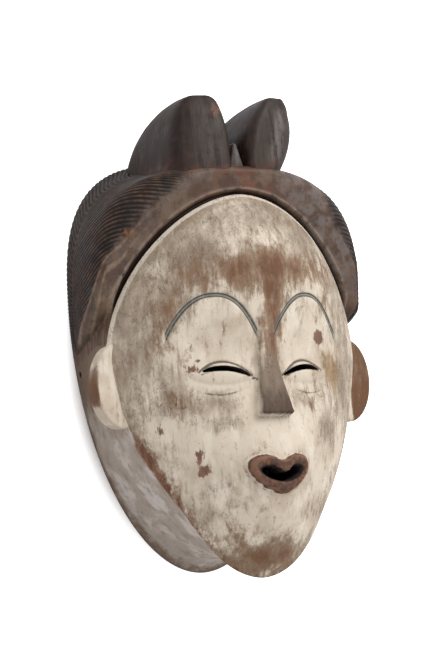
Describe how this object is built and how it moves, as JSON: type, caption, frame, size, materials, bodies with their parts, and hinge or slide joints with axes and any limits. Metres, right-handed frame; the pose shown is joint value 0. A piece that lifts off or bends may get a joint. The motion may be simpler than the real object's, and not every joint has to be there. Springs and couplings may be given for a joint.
{
  "type": "carved wooden face mask",
  "caption": "Hollow wooden face mask: white oval face with arched brows, slit eyes and open heart-shaped mouth, flap ears, dark combed hair and a two-lobed crest.",
  "frame": {"origin": "on the plane of the back rim, under the middle of the mask's length and width", "axes": "+Y from the chin to the crest, +Z out of the face, +X to the right of someone looking at the face; the mask lies on its rim"},
  "size_m": [0.215, 0.3274, 0.1217],
  "materials": {
    "painted_wood": "matte"
  },
  "bodies": {
    "root": {"carved_mask": "painted_wood"}
  },
  "joints": []
}
